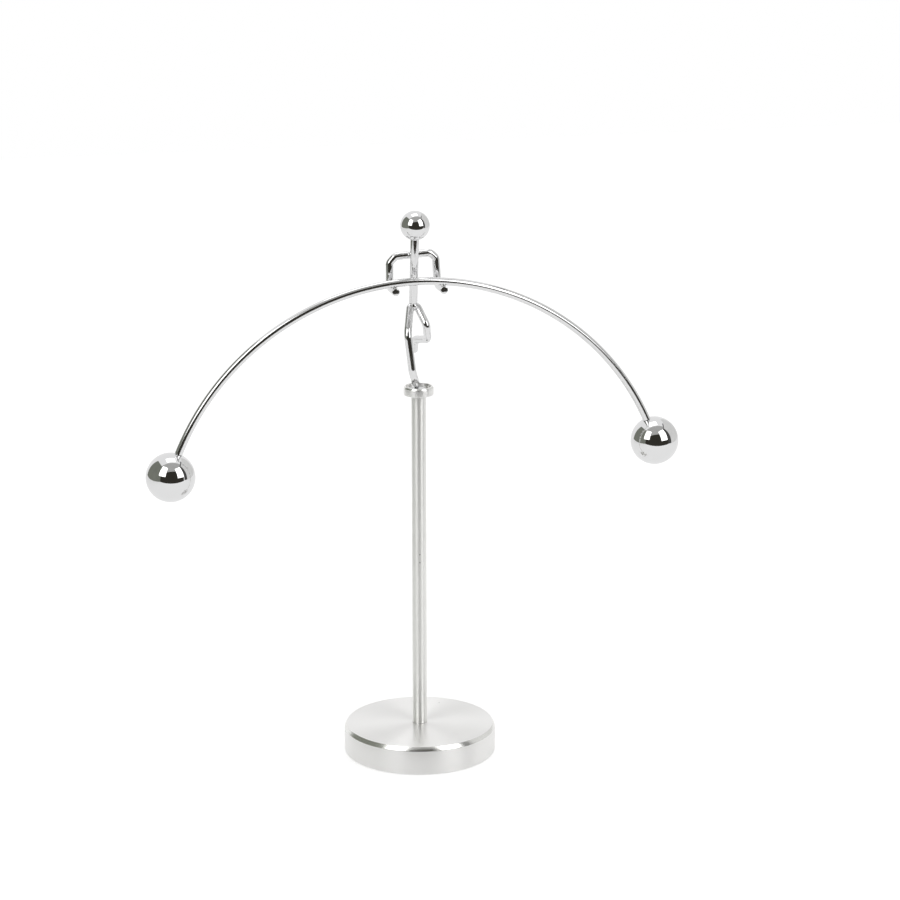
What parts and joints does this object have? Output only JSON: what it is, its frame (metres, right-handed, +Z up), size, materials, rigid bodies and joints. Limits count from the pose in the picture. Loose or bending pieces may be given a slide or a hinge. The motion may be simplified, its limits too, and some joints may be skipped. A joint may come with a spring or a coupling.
{
  "type": "balance pendulum",
  "caption": "Desk toy: a wire figure stands on one toe in a small cup on a pillar and holds a long curved bar with balls hanging lower than the toe, so it rocks without falling.",
  "frame": {"origin": "on the pillar's axis, on the surface that the base rests on", "axes": "+Z up along the pillar, +X along the balance bar to the viewer's right, -Y the side that the figure faces"},
  "size_m": [0.2234, 0.063, 0.2283],
  "materials": {
    "turned_steel": "turned, satin, with a polished chamfer",
    "brushed_rod": "ground, with fine rings round it",
    "screw_steel": "plain bright steel",
    "hard_steel": "hardened, dark",
    "pad": "matt foam",
    "wire_chrome": "polished, with fine drawing lines",
    "ball_chrome": "mirror polish",
    "braze": "filed and plated over"
  },
  "bodies": {
    "stand": {"base_disc": "turned_steel", "base_pad": "pad", "base_screw": "screw_steel", "screw_washer": "screw_steel", "pillar": "brushed_rod", "cup": "turned_steel"},
    "seat": {"seat_disc": "hard_steel"},
    "toe": {"toe_point": "hard_steel"},
    "figure": {"standing_leg": "wire_chrome", "raised_leg": "wire_chrome", "hip_braze": "braze", "torso_rod": "wire_chrome", "head_ball": "ball_chrome", "arm_wire": "wire_chrome", "shoulder_braze": "braze", "hand_brazes": "braze", "balance_bar": "wire_chrome", "left_ball": "ball_chrome", "right_ball": "ball_chrome"}
  },
  "joints": [
    {"name": "spin", "type": "hinge", "parent": "stand", "child": "seat", "pos_m": [-0.00083, 0, 0.15685], "axis": [0, 0, 1], "continuous": true},
    {"name": "rock", "type": "hinge", "parent": "seat", "child": "toe", "pos_m": [-0.00083, 0, 0.15685], "axis": [0, 1, 0], "range_deg": [-25, 25]},
    {"name": "nod", "type": "hinge", "parent": "toe", "child": "figure", "pos_m": [-0.00083, 0, 0.15685], "axis": [1, 0, 0], "range_deg": [-20, 20]}
  ]
}
